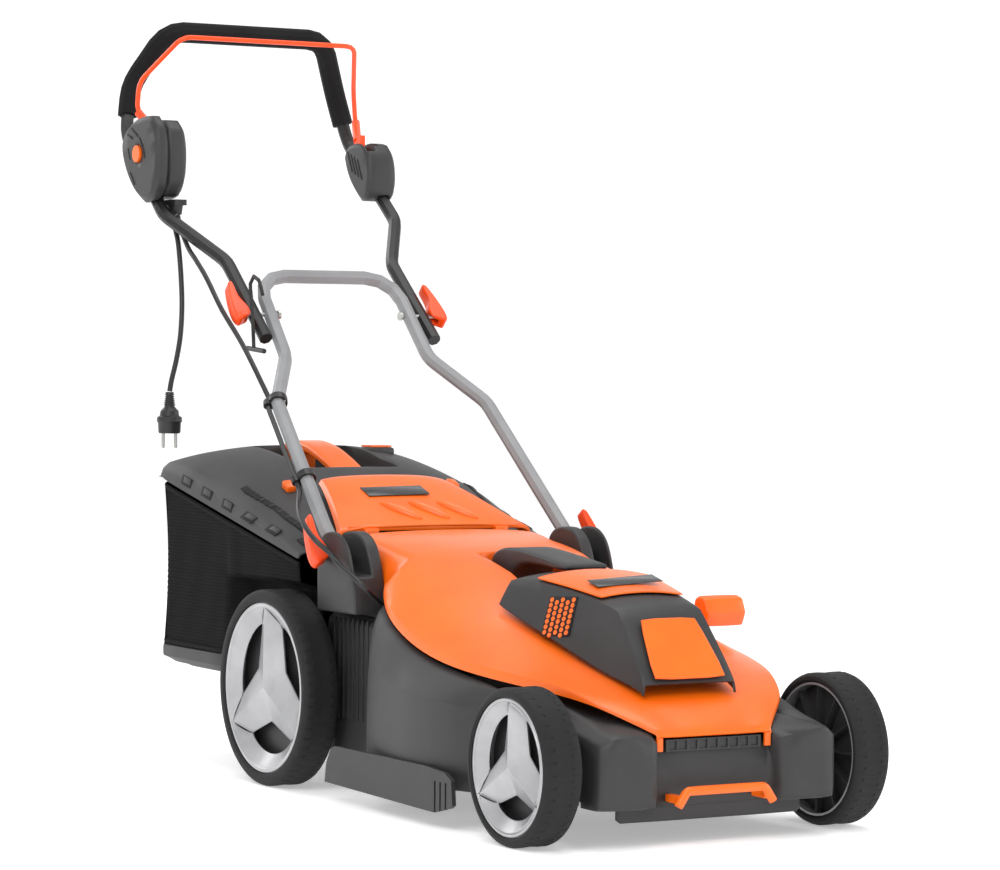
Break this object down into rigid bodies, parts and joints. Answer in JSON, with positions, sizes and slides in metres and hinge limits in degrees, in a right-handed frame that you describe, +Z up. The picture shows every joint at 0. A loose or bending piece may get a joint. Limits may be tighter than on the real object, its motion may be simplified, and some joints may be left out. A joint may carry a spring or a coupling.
{
  "type": "push lawn mower",
  "caption": "Corded electric rotary push mower with a low moulded deck, spoked wheels, a folding tubular handle with a start bail and a mesh grass box at the back.",
  "frame": {"origin": "on the ground under the middle of the mower's box, on its mirror plane", "axes": "-Y towards the mower's front and +Y towards the handle and grass box, +Z up, +X to the left hand of a person who stands behind the mower and looks along -Y; node names with left are on the -X side and those with right on the +X side, as a person facing the mower's front sees them"},
  "size_m": [0.48, 1.3195, 1.0397],
  "materials": {
    "orange_plastic": "glossy moulded",
    "red_orange_plastic": "glossy moulded",
    "anthracite_plastic": "fine moulded grain",
    "lid_plastic": "fine moulded grain",
    "black_plastic": "satin moulded",
    "tyre_rubber": "matte",
    "silver_plastic": "silver lacquered",
    "plated_steel": "zinc plated",
    "grey_painted_tube": "grey powder coat",
    "black_painted_tube": "black powder coat",
    "foam": "soft foam",
    "mesh_fabric": "ribbed mesh"
  },
  "bodies": {
    "deck": {"deck_housing": "anthracite_plastic", "side_comb_left": "anthracite_plastic", "side_comb_right": "anthracite_plastic", "front_grille": "anthracite_plastic", "front_trim": "orange_plastic", "motor_body": "plated_steel", "motor_cover": "orange_plastic", "motor_hood": "anthracite_plastic", "hood_front_panel": "orange_plastic", "hood_top_panel": "orange_plastic", "carry_handle": "black_plastic", "handle_bracket_left": "anthracite_plastic", "handle_bracket_right": "anthracite_plastic", "flap_pin": "plated_steel", "clamp_bolt_lower_left": "plated_steel", "clamp_bolt_lower_right": "plated_steel", "motor_lead_lower": "tyre_rubber"},
    "front_axle": {"front_axle": "plated_steel"},
    "rear_axle": {"rear_axle": "plated_steel"},
    "wheel_front_left": {"tyre_front_left": "tyre_rubber", "rim_front_left": "silver_plastic"},
    "wheel_front_right": {"tyre_front_right": "tyre_rubber", "rim_front_right": "silver_plastic"},
    "wheel_rear_left": {"tyre_rear_left": "tyre_rubber", "rim_rear_left": "silver_plastic"},
    "wheel_rear_right": {"tyre_rear_right": "tyre_rubber", "rim_rear_right": "silver_plastic"},
    "cutter": {"motor_shaft": "plated_steel", "blade_carrier": "black_plastic", "cutting_blade": "plated_steel", "blade_bolt": "plated_steel"},
    "height_lever": {"height_lever": "orange_plastic"},
    "lower_handle": {"lower_handle": "grey_painted_tube", "cord_clip_upper": "black_plastic", "cord_clip_lower": "black_plastic", "motor_lead_mid": "tyre_rubber"},
    "upper_handle": {"upper_handle": "black_painted_tube", "foam_grip": "foam", "switch_box_outer": "anthracite_plastic", "switch_box_inner": "anthracite_plastic", "pivot_box": "anthracite_plastic", "cord_glands": "black_plastic", "clamp_bolt_upper_left": "plated_steel", "clamp_bolt_upper_right": "plated_steel", "cord_hook": "black_plastic", "motor_lead_upper": "tyre_rubber", "plug_lead": "tyre_rubber", "mains_plug": "black_plastic"},
    "bail": {"bail": "red_orange_plastic"},
    "switch_button": {"switch_button": "orange_plastic"},
    "cam_lever_upper_left": {"cam_lever_upper_left": "red_orange_plastic"},
    "cam_lever_upper_right": {"cam_lever_upper_right": "red_orange_plastic"},
    "cam_lever_lower_left": {"cam_lever_lower_left": "red_orange_plastic"},
    "cam_lever_lower_right": {"cam_lever_lower_right": "red_orange_plastic"},
    "rear_flap": {"rear_flap": "orange_plastic"},
    "grass_box": {"box_lid": "lid_plastic", "grass_bag": "mesh_fabric", "box_base": "lid_plastic", "box_handle": "orange_plastic"},
    "full_indicator": {"full_indicator": "orange_plastic"}
  },
  "joints": [
    {"name": "rear_axle_swing", "type": "hinge", "parent": "deck", "child": "rear_axle", "pos_m": [0, 0.04804, 0.115], "axis": [-1, 0, 0], "range_deg": [0, 65]},
    {"name": "front_axle_swing", "type": "hinge", "parent": "deck", "child": "front_axle", "pos_m": [0, -0.59346, 0.079], "axis": [-1, 0, 0], "range_deg": [0, 65]},
    {"name": "height_lever_turn", "type": "hinge", "parent": "deck", "child": "height_lever", "pos_m": [0.182, -0.29575, 0.158], "axis": [-1, 0, 0], "range_deg": [0, 30]},
    {"name": "wheel_front_left_spin", "type": "hinge", "parent": "front_axle", "child": "wheel_front_left", "pos_m": [-0.2145, -0.55775, 0.092], "axis": [1, 0, 0], "continuous": true},
    {"name": "wheel_front_right_spin", "type": "hinge", "parent": "front_axle", "child": "wheel_front_right", "pos_m": [0.2145, -0.55775, 0.092], "axis": [1, 0, 0], "continuous": true},
    {"name": "wheel_rear_left_spin", "type": "hinge", "parent": "rear_axle", "child": "wheel_rear_left", "pos_m": [-0.2065, 0.08375, 0.128], "axis": [1, 0, 0], "continuous": true},
    {"name": "wheel_rear_right_spin", "type": "hinge", "parent": "rear_axle", "child": "wheel_rear_right", "pos_m": [0.2065, 0.08375, 0.128], "axis": [1, 0, 0], "continuous": true},
    {"name": "blade_spin", "type": "hinge", "parent": "deck", "child": "cutter", "pos_m": [0, -0.30775, 0.056], "axis": [0, 0, 1], "continuous": true},
    {"name": "lower_handle_fold", "type": "hinge", "parent": "deck", "child": "lower_handle", "pos_m": [0, -0.02975, 0.306], "axis": [1, 0, 0], "range_deg": [0, 120], "deforming": ["motor_lead_lower"]},
    {"name": "upper_handle_fold", "type": "hinge", "parent": "lower_handle", "child": "upper_handle", "pos_m": [0, 0.31025, 0.616], "axis": [-1, 0, 0], "range_deg": [0, 85], "deforming": ["motor_lead_upper"]},
    {"name": "bail_pull", "type": "hinge", "parent": "upper_handle", "child": "bail", "pos_m": [0, 0.56125, 0.845], "axis": [-1, 0, 0], "range_deg": [0, 14], "stiffness_Nm_per_rad": 2, "springref_deg": -20.05},
    {"name": "switch_button_press", "type": "slide", "parent": "upper_handle", "child": "switch_button", "axis": [1, 0, 0], "range_m": [0, 0.003], "stiffness_N_per_m": 400, "springref_m": -0.001},
    {"name": "cam_lever_upper_left_turn", "type": "hinge", "parent": "upper_handle", "child": "cam_lever_upper_left", "pos_m": [-0.1512, 0.31025, 0.616], "axis": [0, -0.6947, 0.7193], "range_deg": [0, 45]},
    {"name": "cam_lever_upper_right_turn", "type": "hinge", "parent": "upper_handle", "child": "cam_lever_upper_right", "pos_m": [0.1512, 0.31025, 0.616], "axis": [0, 0.6947, -0.7193], "range_deg": [0, 45]},
    {"name": "cam_lever_lower_left_turn", "type": "hinge", "parent": "deck", "child": "cam_lever_lower_left", "pos_m": [-0.2058, -0.02975, 0.306], "axis": [0, -0.809, 0.5878], "range_deg": [0, 45]},
    {"name": "cam_lever_lower_right_turn", "type": "hinge", "parent": "deck", "child": "cam_lever_lower_right", "pos_m": [0.2058, -0.02975, 0.306], "axis": [0, 0.809, -0.5878], "range_deg": [0, 45]},
    {"name": "rear_flap_lift", "type": "hinge", "parent": "deck", "child": "rear_flap", "pos_m": [0, 0.03425, 0.3175], "axis": [1, 0, 0], "range_deg": [0, 65]},
    {"name": "grass_box_pull", "type": "slide", "parent": "deck", "child": "grass_box", "axis": [0, 1, 0], "range_m": [0, 0.12]},
    {"name": "full_indicator_lift", "type": "hinge", "parent": "grass_box", "child": "full_indicator", "pos_m": [0.098, 0.39825, 0.4325], "axis": [-1, 0, 0], "range_deg": [0, 25]}
  ],
  "couplings": [
    {"joint": "front_axle_swing", "follows": "rear_axle_swing", "ratio": 1},
    {"joint": "height_lever_turn", "follows": "rear_axle_swing", "ratio": 0.4615}
  ]
}
